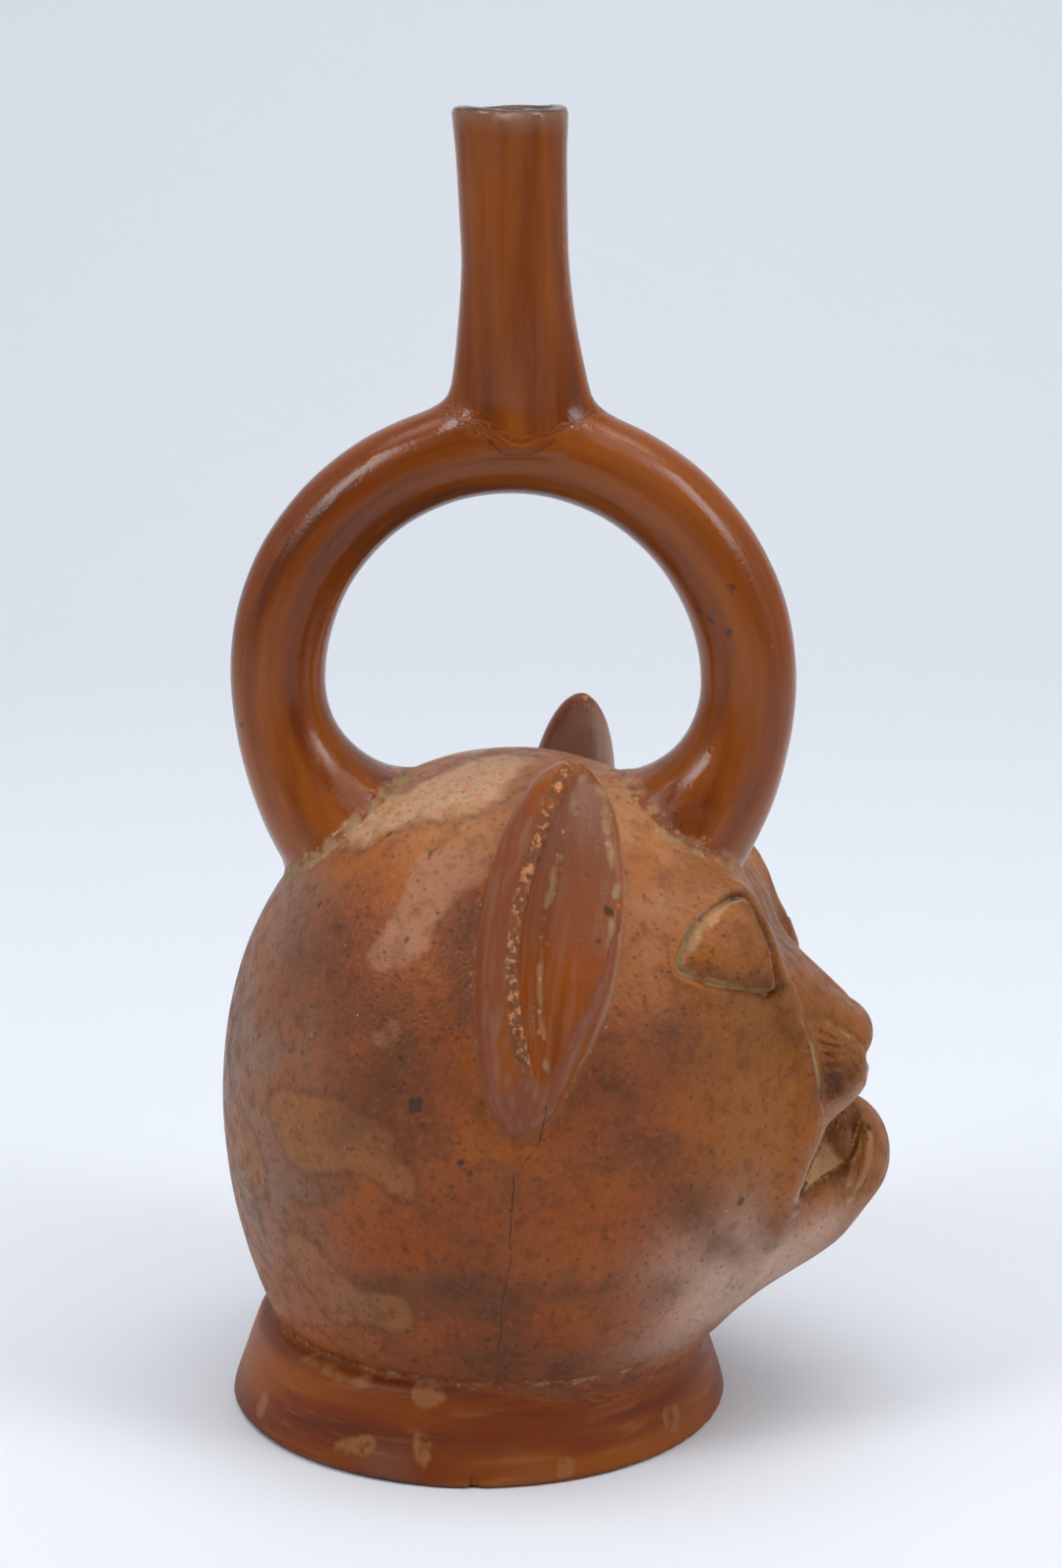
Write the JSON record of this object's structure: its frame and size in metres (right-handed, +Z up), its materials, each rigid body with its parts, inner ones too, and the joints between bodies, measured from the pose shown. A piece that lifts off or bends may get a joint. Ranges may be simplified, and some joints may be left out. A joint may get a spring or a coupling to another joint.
{
  "type": "stirrup spout vessel",
  "caption": "Hollow fired-clay vessel shaped as a feline head on a ring foot, with an arched tubular handle and a spout.",
  "frame": {"origin": "under the middle of the bounding box, on the surface that the ring foot stands on", "axes": "+Z up from the foot to the spout, the face looks along -Y, and X is across the head, from ear to ear"},
  "size_m": [0.13, 0.1462, 0.2817],
  "materials": {
    "burnished_clay": "burnished red-brown slip on fired clay, glossy on the handle and worn matte on the head"
  },
  "bodies": {
    "root": {"stirrup_vessel": "burnished_clay"}
  },
  "joints": []
}
